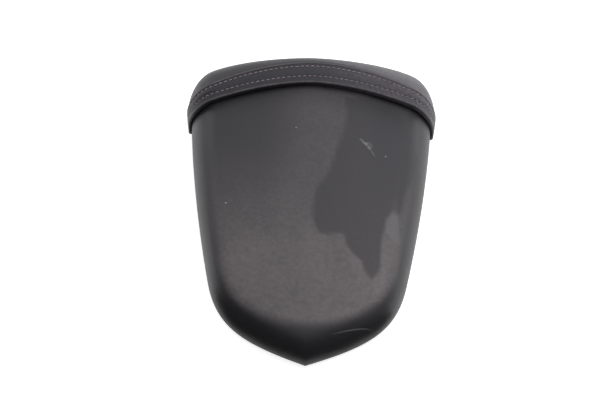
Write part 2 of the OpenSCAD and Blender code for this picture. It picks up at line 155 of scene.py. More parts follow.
def padPoint(u, v, t=0.0):
    # grid of points: u along the outline (0 tail, 1 shoulder, 2 lip end), v from the rim to the middle,
    # t the depth under the skin
    u, v = np.asarray(u, float), np.asarray(v, float)
    p, n = rimPoint(u), rimInward(u)
    k = np.clip(u - 1, 0, 1)
    spine = focusY + (apexY - focusY) * k
    power = 1 + form["spineBend"] * k
    lean = form["lipLean"] * k * k * (3 - 2 * k)
    v0 = t / (np.stack([-p[:, 0], power * (spine - p[:, 1]) - form["leanPower"] * lean], -1) * n).sum(-1)
    w = v0[:, None] + (1 - v0)[:, None] * v[None]
    x = p[:, :1] * (1 - w)
    back = (spine - p[:, 1])[:, None] + lean[:, None] * (1 - (1 - w) ** form["leanPower"])
    y = spine[:, None] - back * (1 - w) ** power[:, None]
    d = np.maximum((x - p[:, :1]) * n[:, :1] + (y - p[:, 1:]) * n[:, 1:] - t, 0)
    # the far side counts too, which rounds the top over the tail point
    far = np.maximum(-(x + p[:, :1]) * n[:, :1] + (y - p[:, 1:]) * n[:, 1:] - t, 0)
    both = d * far / np.maximum(np.hypot(d, far), 1e-9)
    z = rimZ + (padTop(x, y) - t - rimZ) * wallRise(both, roundingWidth(u)[:, None])
    return np.stack([x, y, z], -1)


def lipFrame(v):
    # the lip's points, from a side's rim at 0 to the middle at 1, and the way out of the skin there
    v = np.asarray(v, float)
    q = padPoint([2.0], v)[0]
    step = padPoint([2.0], np.clip(v + 0.0005, 0, 1))[0] - padPoint([2.0], np.clip(v - 0.0005, 0, 1))[0]
    out = np.stack([step[:, 2], 0 * step[:, 2], -step[:, 0]], -1)
    return q, unitRows(out)


noseHeight, bandRise = form["noseHeight"], form["rollHeight"] - form["noseHeight"]
rootRun, rootHeight = form["rootRun"], form["rootHeight"]
# the roll's section as (forward of the lip, above the pad), from its root round the nose to the seam
rollProfile = np.array([
    [rootRun, rootHeight], [1.5, rootHeight], [-0.2, 1.6], [-0.9, 3.6], [-0.7, 0.67 * noseHeight],
    [-0.1, 0.9 * noseHeight], [1.6, noseHeight], [0.4 * form["bandWidth"], noseHeight + 0.35 * bandRise],
    [0.7 * form["bandWidth"], noseHeight + 0.7 * bandRise], [form["bandWidth"], form["rollHeight"]]])
# the same roll as it looks from outside: a crisp folded nose under a gently domed top
bandTop = np.array([
    [rootRun, rootHeight], [1.5, rootHeight], [-0.2, 1.5], [-0.95, 3.4],
    [-1.1, 0.62 * noseHeight], [-1.1, 0.8 * noseHeight], [-0.8, 0.92 * noseHeight],
    [0, 0.967 * noseHeight], [1.5, 1.005 * noseHeight], [4, 1.067 * noseHeight],
    [0.4 * form["bandWidth"], noseHeight + 0.54 * bandRise],
    [0.7 * form["bandWidth"], noseHeight + 0.81 * bandRise], [form["bandWidth"], form["rollHeight"]]])


def smoothProfile(points, count):
    # Catmull-Rom through the profile's points, evenly spread
    p = np.vstack([2 * points[0] - points[1], points, 2 * points[-1] - points[-2]])
    fine = []
    for i in range(1, len(p) - 2):
        for t in np.linspace(0, 1, 20, endpoint=False):
            a, b, c, d = p[i - 1], p[i], p[i + 1], p[i + 2]
            fine.append(0.5 * (2 * b + (c - a) * t + (2 * a - 5 * b + 4 * c - d) * t ** 2
                               + (3 * b - a - 3 * c + d) * t ** 3))
    fine = np.array(fine + [points[-1]])
    run = np.concatenate([[0], np.cumsum(np.linalg.norm(np.diff(fine, axis=0), axis=1))])
    at = np.linspace(0, run[-1], count)
    return np.stack([np.interp(at, run, fine[:, 0]), np.interp(at, run, fine[:, 1])], -1)


def rollPoint(v, profile, t=0.0, lift=None):
    # columns at v along the lip, rows along the profile; t is the depth under the skin, lift raises points
    q, out = lipFrame(v)
    share = form["sideShare"] + (1 - form["sideShare"]) * np.clip(out[:, 2], 0, 1)
    fwd = 1 - form["bandTaper"] * (1 - np.asarray(v, float)) ** form["taperPower"]
    way = unitRows(np.gradient(profile, axis=0))
    into = np.stack([way[:, 1], -way[:, 0]], -1)
    grid = np.zeros((len(q), len(profile), 3))
    for k in range(len(profile)):
        j = unitRows(np.stack([into[k, 0] * share, 0 * share + into[k, 1]], -1))
        a = profile[k, 0] if profile[k, 0] <= rootRun else rootRun + (profile[k, 0] - rootRun) * fwd
        depth = t if lift is None else t - lift[:, k]
        height = rootHeight + share * (profile[k, 1] - rootHeight)
        grid[:, k] = q + out * (height + depth * j[:, 1])[:, None]
        grid[:, k, 1] += a + depth * j[:, 0]
    return grid


frontStart = np.array([
    form["padHalf"] + rootHeight + form["sideShare"] * (form["rollHeight"] - rootHeight),
    endY + rootRun + (form["bandWidth"] - rootRun) * (1 - form["bandTaper"])])


def frontRim(w, t=0.0):
    w = np.asarray(w, float)
    mid = np.array([0, frontY])

    def curve(s):
        return bezier(frontStart, frontStart + np.array([0, form["frontPullSide"]]),
                      mid + np.array([form["frontPullMid"], 0]), mid, s)
    n = inward(unitRows(curve(np.minimum(1, w + 0.001)) - curve(np.maximum(0, w - 0.001))))
    return curve(w) + t * n + np.stack([0 * w, form["softGap"] * (1 - w)], -1), n


def frontPoint(v, angles, t=0.0):
    s = rollPoint(v, rollProfile, t)[:, -1] + np.array([0, form["softGap"], 0])
    f, n = frontRim(np.asarray(v, float) ** form["frontSpread"], t)
    a = np.asarray(angles, float)[None, :, None]
    xy = s[:, None, :2] + (f - s[:, :2])[:, None] * np.sin(a)
    z = rimZ + (s[:, 2:] - rimZ)[:, None] * np.cos(a)
    return np.concatenate([xy, z], -1)


def hemRows(p, n, width, t):
    # folded edge below a rim point: rounded corner, then flat under the pan
    corner = form["hemRound"] - t * 0.45
    rows = [np.stack([p[:, 0] + width * n[:, 0], p[:, 1] + width * n[:, 1],
                      0 * p[:, 0] + form["hemZ"] + t], -1)]
    for a in np.linspace(0, 1, 6)[:-1] * math.pi / 2:
        inset = t + corner * (1 - math.sin(a))
        z = form["hemZ"] + t + (rimZ - form["hemZ"] - t) * (1 - math.cos(a))
        rows.append(np.stack([p[:, 0] + inset * n[:, 0], p[:, 1] + inset * n[:, 1], 0 * p[:, 0] + z], -1))
    return np.stack(rows, 1)


def flipX(grid):
    return grid * np.array([-1.0, 1.0, 1.0])


def shellObject(name, outer, inner, openRow=False):
    # closed shell between two grids in millimetres; coincident points are welded
    nc, nr = outer.shape[:2]
    pts = np.concatenate([outer.reshape(-1, 3), inner.reshape(-1, 3)]) * mm
    half = nc * nr
    i, j = np.meshgrid(np.arange(nc - 1), np.arange(nr - 1), indexing="ij")
    a = (i * nr + j).ravel()
    faces = [np.stack([a, a + nr, a + nr + 1, a + 1], -1),
             half + np.stack([a, a + 1, a + nr + 1, a + nr], -1)]
    c = np.arange(nc - 1) * nr
    faces.append(np.stack([c, half + c, half + c + nr, c + nr], -1))
    c = c + nr - 1
    if not openRow:
        faces.append(np.stack([c, c + nr, half + c + nr, half + c], -1))
    r = np.arange(nr - 1)
    faces.append(np.stack([r, r + 1, half + r + 1, half + r], -1))
    r = r + (nc - 1) * nr
    faces.append(np.stack([r, half + r, half + r + 1, r + 1], -1))
    mesh = bpy.data.meshes.new(name)
    mesh.from_pydata(pts.tolist(), [], np.concatenate(faces).tolist())
    bm = bmesh.new()
    bm.from_mesh(mesh)
    bmesh.ops.remove_doubles(bm, verts=bm.verts, dist=2e-6)
    bmesh.ops.dissolve_degenerate(bm, edges=bm.edges, dist=1e-6)
    bmesh.ops.recalc_face_normals(bm, faces=bm.faces)
    bm.to_mesh(mesh)
    bm.free()
    mesh.polygons.foreach_set("use_smooth", [True] * len(mesh.polygons))
    piece = bpy.data.objects.new(name, mesh)
    scene.collection.objects.link(piece)
    return piece


# Main panel -----
topPanelFit = dict(
    tailRays=34, sideRays=54, steps=56, spread=1.9,
    hemShare=0.8,   # most of the way to the middle that the hem reaches near the tail point
    bendFrom=1.9, hemBack=4.5, rimBack=2.5, tuckHem=0.4, tuckWall=3.6)


def topGrid(t):
    f = topPanelFit
    u = np.concatenate([np.linspace(0, 1, f["tailRays"], endpoint=False),
                        np.linspace(1, 2, f["sideRays"] + 1)])
    v = np.linspace(0, 1, f["steps"]) ** f["spread"]
    up = padPoint(u, v, t)
    p, n = rimPoint(u), rimInward(u)
    n[0] = (0, 1)
    room = np.where(u < 0.001, form["hemWidth"], f["hemShare"] * p[:, 0] / np.maximum(0.01, -n[:, 0]))
    hem = hemRows(p, n, np.minimum(form["hemWidth"], room), t)
    grid = np.concatenate([hem, up], 1)
    hemCount = hem.shape[1]
    # the last rays bend back at the hem to leave room for the roll's own hem
    late = np.clip((u - f["bendFrom"]) / (2 - f["bendFrom"]), 0, 1)
    grid[:, :hemCount, 1] -= f["hemBack"] * late[:, None]
    grid[:, hemCount, 1] -= f["rimBack"] * late
    # the panel's front edge runs on under the roll
    tuck = grid[-1:].copy()
    tuck[:, :hemCount + 1, 1] += f["tuckHem"]
    tuck[:, hemCount + 1:, 1] += f["tuckWall"]
    right = np.concatenate([grid, tuck])
    return np.concatenate([flipX(right[::-1]), right[1:]])


topPanel = shellObject("topPanel", topGrid(0.0), topGrid(form["vinyl"]), openRow=True)
print("main panel", len(topPanel.data.vertices))

# Sewn band on the roll -----
bandFit = dict(
    columns=150, rows=72, spread=2.0, outerFrom=6.5, swell=0.32, swellAt=10.9, swellHalf=3.3,
    pull=0.28, pullWave=0.14, pullHalf=1.1)
stitchRows = dict(upper=16.2, lower=5.2)   # mm forward of the lip, before the taper
stitch = dict(pitch=5.2, length=3.7, radius=0.42, flatness=1.25, bow=0.5, sunk=0.02, jitter=0.12,
              sides=8, rings=9, samples=1500, sampleSpread=1.6)


def columnSteps(count, spread):
    return np.linspace(0, 1, count) ** spread


def alongLip(v, a, h):
    # points along the roll, a mm forward of the lip and h mm above the pad
    return rollPoint(v, np.array([[a - 0.5, h], [a, h], [a + 0.5, h]]))[:, 1]


bandProfile = smoothProfile(bandTop, bandFit["rows"])
bandLining = smoothProfile(rollProfile, bandFit["rows"])
bandSteps = columnSteps(bandFit["columns"], bandFit["spread"])


def bandGrid(t, puckered):
    # the outer side is drawn in at each stitch and swells between the rows; the inner side is plain
    lift = None
    if puckered:
        q = rollPoint(bandSteps, bandProfile)
        mid = q[:, len(bandProfile) // 2]
        run = np.concatenate([[0], np.cumsum(np.linalg.norm(np.diff(mid, axis=0), axis=1))])
        run = run[-1] - run
        lift = np.zeros(q.shape[:2])
        outer = bandProfile[:, 1] > bandFit["outerFrom"]
        for a0 in stitchRows.values():
            near = np.exp(-((bandProfile[:, 0] - a0) / bandFit["pullHalf"]) ** 2) * outer
            pull = bandFit["pull"] + bandFit["pullWave"] * np.cos(2 * math.pi * run / stitch["pitch"])
            lift -= near[None, :] * pull[:, None]
        swell = np.exp(-((bandProfile[:, 0] - bandFit["swellAt"]) / bandFit["swellHalf"]) ** 2) * outer
        lift += bandFit["swell"] * swell[None, :]
    profile = bandProfile if puckered else bandLining
    up = rollPoint(bandSteps, profile, t, lift)
    base = rollPoint(np.array([0.0, 1.0]), profile)[0]
    n = np.tile(np.array([-1.0, 0.0]), (len(base), 1))
    hem = hemRows(base[:, :2], n, form["hemWidth"], t)
    right = np.concatenate([np.transpose(hem, (1, 0, 2)), up])
    return np.concatenate([right, flipX(right[:-1][::-1])])


bandPanel = shellObject("bandPanel", bandGrid(0.0, True), bandGrid(form["vinyl"], False))
print("band", len(bandPanel.data.vertices))

# Front panel under the upper seam -----
frontFit = dict(
    columns=130, rows=36, spread=2.0, foldHeight=0.55, foldRun=2.6,
    fold=[(-1.35, 0.02), (-1.2, 0.14), (-1.0, 0.29), (-0.75, 0.42), (-0.45, 0.51), (-0.1, 0.55),
          (0.25, 0.56)],
    turnedIn=[(-1.15, 0.06), (-1.1, 0.06), (-1.0, 0.05), (-0.8, 0.05), (-0.6, 0.05), (-0.4, 0.04),
              (-0.1, 0.03)])


def frontGrid(t):
    # the panel's turned edge laps over the band, then the panel falls to the hem
    v = columnSteps(frontFit["columns"], frontFit["spread"])
    _, out = lipFrame(v)
    edge = []
    for forward, above in frontFit["turnedIn"] if t else frontFit["fold"]:
        at = alongLip(v, form["bandWidth"] + forward, form["rollHeight"])
        edge.append(at + out * above)
    down = frontPoint(v, math.pi / 2 * np.linspace(0, 1, frontFit["rows"]) ** 1.3, t)
    if not t:
        run = np.linalg.norm(down - down[:, :1], axis=2)
        raised = frontFit["foldHeight"] * np.exp(-(run / frontFit["foldRun"]) ** 2)
        down = down + out[:, None] * raised[..., None]
    p, n = frontRim(v ** form["frontSpread"])
    hem = hemRows(p, n, form["hemWidth"], t)[:, ::-1]
    right = np.concatenate([np.stack(edge, 1), down, hem], 1)
    return np.concatenate([right, flipX(right[:-1][::-1])])


frontPanel = shellObject("frontPanel", frontGrid(0.0), frontGrid(form["vinyl"]))
print("front panel", len(frontPanel.data.vertices))


# Threads: short bowed stitches, ends sunk under the skin -----
def stitchRow(name, a0):
    v = np.linspace(0, 1, stitch["samples"]) ** stitch["sampleSpread"]
    top = bandTop[5:]   # past the nose, where forward places rise along the section
    h = float(np.interp(a0, top[:, 0], top[:, 1]))
    right = alongLip(v, a0, h)
    _, out = lipFrame(v)
    line = np.concatenate([right, flipX(right[:-1][::-1])])
    outs = np.concatenate([out, flipX(out[:-1][::-1])])
    run = np.concatenate([[0], np.cumsum(np.linalg.norm(np.diff(line, axis=0), axis=1))])
    verts, faces = [], []
    sides, rings = stitch["sides"], stitch["rings"]
    count = int(run[-1] / stitch["pitch"])
    start = (run[-1] - count * stitch["pitch"]) / 2 + (stitch["pitch"] - stitch["length"]) / 2
    for k in range(count):
        jig = rng.uniform(-stitch["jitter"], stitch["jitter"], 3)
        s = start + k * stitch["pitch"] + jig[0] + np.linspace(0, stitch["length"] + jig[1], rings)
        c = np.stack([np.interp(s, run, line[:, i]) for i in range(3)], -1)
        n = unitRows(np.stack([np.interp(s, run, outs[:, i]) for i in range(3)], -1))
        t = unitRows(np.gradient(c, axis=0))
        b = unitRows(np.cross(n, t))
        w = np.linspace(-1, 1, rings)
        c = c + n * (stitch["bow"] * (1 - np.abs(w) ** 3.5) - stitch["bow"] - stitch["sunk"])[:, None]
        c = c + b * (jig[2] * w)[:, None]
        r = stitch["radius"] * np.sqrt(np.clip(1 - np.abs(w) ** 6 * 0.95, 0.05, 1))
        base = len(verts)
        for i in range(rings):
            for j in range(sides):
                a = 2 * math.pi * j / sides
                across = stitch["flatness"] * math.cos(a) * b[i] + math.sin(a) * n[i]
                verts.append((c[i] + r[i] * across) * mm)
        for i in range(rings - 1):
            for j in range(sides):
                p = base + i * sides
                faces.append((p + j, p + (j + 1) % sides, p + sides + (j + 1) % sides, p + sides + j))
        faces.append(tuple(base + j for j in reversed(range(sides))))
        faces.append(tuple(base + (rings - 1) * sides + j for j in range(sides)))
    mesh = bpy.data.meshes.new(name)
    mesh.from_pydata([tuple(p) for p in verts], [], faces)
    mesh.polygons.foreach_set("use_smooth", [True] * len(mesh.polygons))
    piece = bpy.data.objects.new(name, mesh)
    scene.collection.objects.link(piece)
    return piece


upperThread = stitchRow("upperThread", stitchRows["upper"])
lowerThread = stitchRow("lowerThread", stitchRows["lower"])
print("threads")

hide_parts("top_cover")
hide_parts("band_cover")
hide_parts("front_cover")
for piece in (topPanel, bandPanel, frontPanel, upperThread, lowerThread):
    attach(piece, "root")

# Marks the panels carry, as numbers on their points: wiped patch, pale rub, worn hem, painted highlight
# lines, dust with a painted sheen -----
marks = dict(   # places in millimetres
    wiped=[(33, 106), (33, 88), (32, 62), (26, 46), (19, 27), (10, 6), (3, -15), (1, -27), (4, -36),
           (12, -44), (24, -44), (34, -45), (37, -55), (44, -64), (51, -71), (52, -81), (59, -91),
           (65, -81), (70, -61), (72, -45), (73, -28), (78, -19), (85, -22), (92, -5), (99, 21),
           (106, 47), (105, 60), (98, 68), (92, 75), (84, 88), (80, 106)],
    paleRub=[(73, -28), (78, -22), (85, -22), (86, -36), (86, -51), (80, -49), (73, -40)],
    wipedSoft=2.2, paleSoft=1.1,
    streakX=82.0, streakHalf=3.0, streakFront=(-5, 25), streakTail=(-108, -70),
    # dust with a painted sheen lies thickest toward the tail and is lighter on the right, with a column of
    # it up the middle to the lip
    dustAndSheenAlong=(-70, 100), dustAndSheenLevel=0.84, dustAndSheenRightExtra=0.26, dustAndSheenRight=(15, 75),
    columnLevel=0.36, columnLeft=(-52, 8), columnRight=(-75, -45),
    # and ends in an arc before the tail's edge: y at the middle, then shares of x^2 and x^4
    tailEdge=(-137, 0.0037, 2e-7), tailFade=(-5, 8),
    wornHem=(0.6, 5.5), rollDustAndSheen=(-25, 95), paintedHighlightHalf=1.5)


def insideBy(points, outline):
    # signed distance to a closed outline, positive inside
    poly = np.array(outline, float)
    best = np.full(len(points), 1e9)
    inside = np.zeros(len(points), bool)
    for i in range(len(poly)):
        a, b = poly[i], poly[(i + 1) % len(poly)]
        e, w = b - a, points - a
        k = np.clip((w @ e) / (e @ e), 0, 1)
        best = np.minimum(best, np.linalg.norm(w - k[:, None] * e, axis=1))
        crosses = (a[1] > points[:, 1]) != (b[1] > points[:, 1])
        at = a[0] + (points[:, 1] - a[1]) / (b[1] - a[1] if b[1] != a[1] else 1e-9) * (b[0] - a[0])
        inside ^= crosses & (points[:, 0] < at)
    return np.where(inside, best, -best)


def smoothStep(x, lo, hi):
    k = np.clip((x - lo) / (hi - lo), 0, 1)
    return k * k * (3 - 2 * k)


def meshPoints(piece):
    co = np.zeros(len(piece.data.vertices) * 3)
    piece.data.vertices.foreach_get("co", co)
    return co.reshape(-1, 3) / mm


def writeMarks(piece, red, green, blue):
    layer = piece.data.attributes.new("marks", "FLOAT_COLOR", "POINT")
    values = np.stack([red, green, blue, np.ones(len(red))], -1)
    layer.data.foreach_set("color", values.ravel())


def markPad():
    m, p = marks, meshPoints(topPanel)
    x, y, z = p[:, 0], p[:, 1], p[:, 2]
    wob = 1.6 * np.sin(y * 0.11 + 1.3) + 1.1 * np.sin(x * 0.23 + y * 0.05)
    xy = p[:, :2] + np.stack([wob, 0.7 * wob], -1)
    wiped = smoothStep(insideBy(xy, m["wiped"]), -m["wipedSoft"], m["wipedSoft"])
    pale = smoothStep(insideBy(p[:, :2], m["paleRub"]), -m["paleSoft"], m["paleSoft"])
    streak = np.exp(-((x - m["streakX"]) / m["streakHalf"]) ** 2)
    streak *= smoothStep(-y, *m["streakFront"]) * smoothStep(y, *m["streakTail"])
    along = smoothStep(-y, *m["dustAndSheenAlong"])
    column = smoothStep(x, *m["columnLeft"]) * smoothStep(-x, *m["columnRight"])
    # painted sheen mixed into the dust: lighter toward the tail and lighter again on the right
    dustAndSheen = along * (m["dustAndSheenLevel"] + m["dustAndSheenRightExtra"] * smoothStep(x, *m["dustAndSheenRight"]))
    dustAndSheen += m["columnLevel"] * (1 - along) * column
    edgeY = m["tailEdge"][0] + m["tailEdge"][1] * x ** 2 + m["tailEdge"][2] * x ** 4
    dustAndSheen *= smoothStep(y - edgeY, *m["tailFade"])
    layer = topPanel.data.attributes.new("dustAndSheen", "FLOAT", "POINT")
    layer.data.foreach_set("value", dustAndSheen.ravel())
    hem = 1 - smoothStep(z, form["hemZ"] + m["wornHem"][0], form["hemZ"] + m["wornHem"][1])
    writeMarks(topPanel, wiped, np.clip(0.8 * pale + 0.35 * streak, 0, 1), hem)


def markRoll(piece, line):
    # dust with a painted sheen toward the right end in red, a painted highlight along a line in blue
    p, wide = meshPoints(piece), marks["paintedHighlightHalf"]
    points = np.concatenate([line, flipX(line)])
    step = max(1, len(points) // 260)
    far = np.min([np.linalg.norm(p - q, axis=1) for q in points[::step]], axis=0)
    # painted highlight: pale within this distance of the line
    paintedHighlight = 1 - smoothStep(far, 0.35 * wide, wide)
    writeMarks(piece, smoothStep(p[:, 0], *marks["rollDustAndSheen"]), 0 * paintedHighlight, paintedHighlight)


markPad()
edgeSteps = np.linspace(0, 1, 400) ** 1.6
noseRow = 6   # the row of bandTop that runs along the top of the nose
# painted highlights along the top of the nose and along the front panel's folded edge
markRoll(bandPanel, rollPoint(edgeSteps, bandTop)[:, noseRow])
markRoll(frontPanel, alongLip(edgeSteps, form["bandWidth"] - 1.0, form["rollHeight"] + 0.3))
print("marks")


# Node helpers -----
def addNode(tree, kind, x=0, **settings):
    node = tree.nodes.new(kind)
    node.location.x = x
    for key, value in settings.items():
        setattr(node, key, value)
    return node


def feed(tree, socket, value):
    # a value, or the output of another node
    if isinstance(value, bpy.types.NodeSocket):
        tree.links.new(value, socket)
    elif value is not None:
        socket.default_value = value


def calc(tree, operation, a, b=None, c=None, clamp=False):
    node = addNode(tree, "ShaderNodeMath", operation=operation, use_clamp=clamp)
    for socket, value in zip(node.inputs, (a, b, c)):
        feed(tree, socket, value)
    return node.outputs[0]


def blendColour(tree, factor, a, b):
    node = addNode(tree, "ShaderNodeMix", data_type="RGBA")
    feed(tree, node.inputs[0], factor)
    feed(tree, node.inputs[6], a)
    feed(tree, node.inputs[7], b)
    return node.outputs[2]


def noiseAt(tree, vector, scale, detail=3.0, roughness=0.55):
    node = addNode(tree, "ShaderNodeTexNoise")
    feed(tree, node.inputs["Vector"], vector)
    feed(tree, node.inputs["Scale"], scale)
    node.inputs["Detail"].default_value = detail
    node.inputs["Roughness"].default_value = roughness
    return node.outputs["Fac"]


def makeGroup(name, inputs, outputs):
    group = bpy.data.node_groups.new(name, "ShaderNodeTree")
    for label, kind, value in inputs:
        socket = group.interface.new_socket(name=label, in_out="INPUT", socket_type=kind)
        if value is not None:
            socket.default_value = value
    for label, kind in outputs:
        group.interface.new_socket(name=label, in_out="OUTPUT", socket_type=kind)
    return group, addNode(group, "NodeGroupInput"), addNode(group, "NodeGroupOutput")


def grainGroup():
    # pebbled skin of vinyl or moulded plastic
    g, start, end = makeGroup("pebbleGrain",
                              [("Pebbles per metre", "NodeSocketFloat", 1500.0),
                               ("Stretch", "NodeSocketFloat", 1.0),
                               ("Softness", "NodeSocketFloat", 0.5)],
                              [("Height", "NodeSocketFloat"), ("Valleys", "NodeSocketFloat")])
    where = addNode(g, "ShaderNodeTexCoord").outputs["Object"]
    squeeze = addNode(g, "ShaderNodeCombineXYZ")
    feed(g, squeeze.inputs[0], 1.0)
    feed(g, squeeze.inputs[1], start.outputs["Stretch"])
    feed(g, squeeze.inputs[2], 1.0)
    scaled = addNode(g, "ShaderNodeVectorMath", operation="MULTIPLY")
    feed(g, scaled.inputs[0], where)
    feed(g, scaled.inputs[1], squeeze.outputs[0])
    wobble = addNode(g, "ShaderNodeTexNoise")
    feed(g, wobble.inputs["Vector"], scaled.outputs[0])
    feed(g, wobble.inputs["Scale"], calc(g, "MULTIPLY", start.outputs["Pebbles per metre"], 0.5))
    shift = addNode(g, "ShaderNodeVectorMath", operation="MULTIPLY_ADD")
    feed(g, shift.inputs[0], wobble.outputs["Color"])
    shift.inputs[1].default_value = (0.0006, 0.0006, 0.0006)
    feed(g, shift.inputs[2], scaled.outputs[0])
    cells = addNode(g, "ShaderNodeTexVoronoi", feature="SMOOTH_F1")
    feed(g, cells.inputs["Vector"], shift.outputs[0])
    feed(g, cells.inputs["Scale"], start.outputs["Pebbles per metre"])
    feed(g, cells.inputs["Smoothness"], start.outputs["Softness"])
    finer = calc(g, "MULTIPLY", start.outputs["Pebbles per metre"], 2.2)
    fine = noiseAt(g, scaled.outputs[0], finer, 4.0, 0.6)
    dome = calc(g, "SUBTRACT", 1.0, cells.outputs["Distance"])
    feed(g, end.inputs["Height"], calc(g, "MULTIPLY_ADD", fine, 0.35, calc(g, "MULTIPLY", dome, 0.65)))
    feed(g, end.inputs["Valleys"], calc(g, "MULTIPLY_ADD", cells.outputs["Distance"], 1.6, -0.35, True))
    return g


def mottleGroup():
    # cloudy hand marks and faint cleaning smears
    g, start, end = makeGroup("handledMottle",
                              [("Clouds per metre", "NodeSocketFloat", 30.0),
                               ("Contrast", "NodeSocketFloat", 1.0)],
                              [("Clouds", "NodeSocketFloat"), ("Smears", "NodeSocketFloat")])
    where = addNode(g, "ShaderNodeTexCoord").outputs["Object"]
    big = noiseAt(g, where, start.outputs["Clouds per metre"], 2.0, 0.5)
    small = noiseAt(g, where, calc(g, "MULTIPLY", start.outputs["Clouds per metre"], 5.3), 4.0, 0.6)
    both = calc(g, "MULTIPLY_ADD", small, 0.35, calc(g, "MULTIPLY", big, 0.65))
    centred = calc(g, "MULTIPLY", calc(g, "SUBTRACT", both, 0.5), start.outputs["Contrast"])
    feed(g, end.inputs["Clouds"], calc(g, "ADD", centred, 0.5, None, True))
    drawn = addNode(g, "ShaderNodeMapping")
    feed(g, drawn.inputs["Vector"], where)
    drawn.inputs["Rotation"].default_value = (0, 0, 0.6)
    drawn.inputs["Scale"].default_value = (9.0, 1.2, 4.0)
    drawnScale = calc(g, "MULTIPLY", start.outputs["Clouds per metre"], 1.2)
    lines = noiseAt(g, drawn.outputs[0], drawnScale, 5.0, 0.7)
    feed(g, end.inputs["Smears"], calc(g, "MULTIPLY_ADD", lines, 3.0, -1.35, True))
    return g


def fleckGroup():
    # small pale dust grains, thin on the surface
    g, start, end = makeGroup("dustFlecks",
                              [("Cells per metre", "NodeSocketFloat", 120.0),
                               ("Size", "NodeSocketFloat", 0.06),
                               ("Share", "NodeSocketFloat", 0.12)],
                              [("Mask", "NodeSocketFloat")])
    where = addNode(g, "ShaderNodeTexCoord").outputs["Object"]
    cells = addNode(g, "ShaderNodeTexVoronoi")
    feed(g, cells.inputs["Vector"], where)
    feed(g, cells.inputs["Scale"], start.outputs["Cells per metre"])
    parts = addNode(g, "ShaderNodeSeparateColor")
    feed(g, parts.inputs[0], cells.outputs["Color"])
    chosen = calc(g, "LESS_THAN", parts.outputs[0], start.outputs["Share"])
    own = calc(g, "MULTIPLY", start.outputs["Size"], parts.outputs[1])
    spot = calc(g, "LESS_THAN", cells.outputs["Distance"], own)
    feed(g, end.inputs["Mask"], calc(g, "MULTIPLY", chosen, spot))
    return g


groups = dict(grain=grainGroup(), mottle=mottleGroup(), fleck=fleckGroup())


def useGroup(tree, key, **values):
    node = addNode(tree, "ShaderNodeGroup", node_tree=groups[key])
    for label, value in values.items():
        feed(tree, node.inputs[label.replace("_", " ")], value)
    return node


def newMaterial(name):
    material = bpy.data.materials.new(name)
    material.use_nodes = True
    tree = material.node_tree
    tree.nodes.clear()
    shader = addNode(tree, "ShaderNodeBsdfPrincipled", 300)
    out = addNode(tree, "ShaderNodeOutputMaterial", 600)
    tree.links.new(shader.outputs[0], out.inputs[0])
    return material, tree, shader


def bump(tree, shader, height, strength, distance, normal=None):
    node = addNode(tree, "ShaderNodeBump")
    node.inputs["Strength"].default_value = strength
    node.inputs["Distance"].default_value = distance
    feed(tree, node.inputs["Height"], height)
    if normal is not None:
        tree.links.new(normal, node.inputs["Normal"])
    if shader is not None:
        tree.links.new(node.outputs[0], shader.inputs["Normal"])
    return node.outputs[0]


def spotMask(tree, places):
    # small round or long marks at set places: (x, y, half length, half width, angle, strength)
    where = addNode(tree, "ShaderNodeTexCoord").outputs["Object"]
    flat = addNode(tree, "ShaderNodeVectorMath", operation="MULTIPLY")
    feed(tree, flat.inputs[0], where)
    flat.inputs[1].default_value = (1, 1, 0)
    total = None
    for x, y, long, wide, angle, weight in places:
        turn = addNode(tree, "ShaderNodeMapping", vector_type="TEXTURE")
        feed(tree, turn.inputs["Vector"], flat.outputs[0])
        turn.inputs["Location"].default_value = (x * mm, y * mm, 0)
        turn.inputs["Rotation"].default_value = (0, 0, math.radians(angle))
        turn.inputs["Scale"].default_value = (long * mm, wide * mm, 1)
        far = addNode(tree, "ShaderNodeVectorMath", operation="LENGTH")
        feed(tree, far.inputs[0], turn.outputs[0])
        near = addNode(tree, "ShaderNodeMapRange", interpolation_type="SMOOTHSTEP")
        feed(tree, near.inputs["Value"], far.outputs["Value"])
        near.inputs["From Min"].default_value = 1.0
        near.inputs["From Max"].default_value = 0.3
        part = calc(tree, "MULTIPLY", near.outputs[0], weight)
        total = part if total is None else calc(tree, "MAXIMUM", total, part)
    return total


# Finishes -----
# dusty is dust with a painted sheen laid into the colour
padFinish = dict(
    dark=(0.0125, 0.0120, 0.0135, 1), dusty=(0.143, 0.129, 0.129, 1), pale=(0.115, 0.108, 0.113, 1),
    scuffed=(0.30, 0.29, 0.28, 1), tint=(0.95, 0.92, 1.0, 1),
    clouds=28.0, cloudShare=0.7, fineClouds=260.0, fineShare=0.5, lyingFrom=0.60, lyingFull=0.965,
    wipedDarker=0.78, rubShare=0.55, fleckShare=0.35, hemShare=0.12,
    roughness=0.42, roughSpread=0.10, wipedRough=0.05, specular=0.42, grain=2200.0, grainDepth=0.00009,
    scuffs=[(52.5, 53.5, 7.5, 1.5, -48, 0.38), (54.2, 53, 2.4, 1.7, -48, 0.5),
            (57, 48.6, 3.2, 2.2, -50, 0.36), (60.5, 43, 6.5, 1.2, -58, 0.16),
            (49, 57.4, 2.6, 1.1, -30, 0.3), (57, 52, 5.5, 3.6, -40, 0.14),
            (-79.7, -13.8, 1.2, 0.9, 0, 1.0), (-14.6, 68.7, 1.0, 0.8, 0, 0.8),
            (73, 40.2, 1.1, 0.8, 0, 0.9), (43, -136.5, 26, 0.5, 18, 0.3),
            (63.5, -110.5, 10, 0.5, 20, 0.22), (-48, -30, 5, 0.4, 30, 0.18)])


def marksOf(tree):
    written = addNode(tree, "ShaderNodeAttribute", attribute_name="marks")
    parts = addNode(tree, "ShaderNodeSeparateColor")
    feed(tree, parts.inputs[0], written.outputs["Color"])
    return parts.outputs


